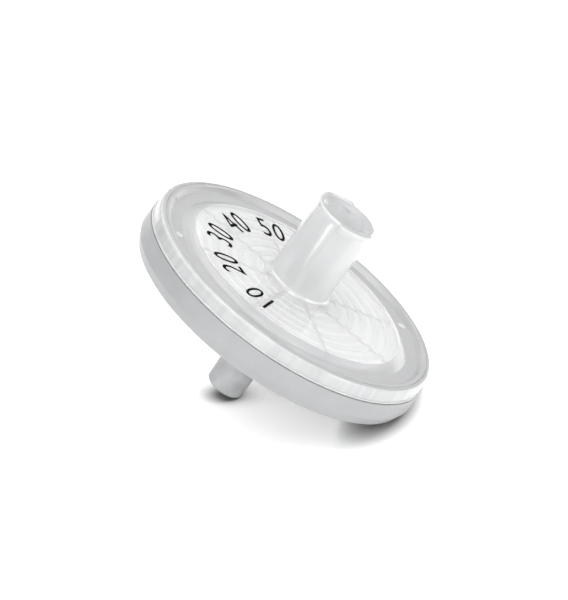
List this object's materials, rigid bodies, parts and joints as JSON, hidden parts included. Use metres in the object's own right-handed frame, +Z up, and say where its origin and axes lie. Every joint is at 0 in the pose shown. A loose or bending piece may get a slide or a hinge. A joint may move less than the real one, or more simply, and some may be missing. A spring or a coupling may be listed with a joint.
{
  "type": "syringe filter",
  "caption": "Disc-shaped syringe filter with a luer lock inlet, a luer slip outlet and a membrane clamped between two moulded plastic housings.",
  "frame": {"origin": "on the bench, under the centre of the box of the lying filter", "axes": "+Z up from the bench. The flow axis leans from +Z towards +X, with the inlet hub up and the outlet's tip down. +Y runs along the disc's widest direction, level with the bench."},
  "size_m": [0.0296, 0.033, 0.0221],
  "materials": {
    "clear_housing": "translucent polypropylene, smooth",
    "milky_housing": "milky polypropylene, fine matte",
    "membrane": "white, matte"
  },
  "bodies": {
    "root": {"inlet_housing": "clear_housing", "outlet_housing": "milky_housing", "membrane": "membrane"}
  },
  "joints": []
}
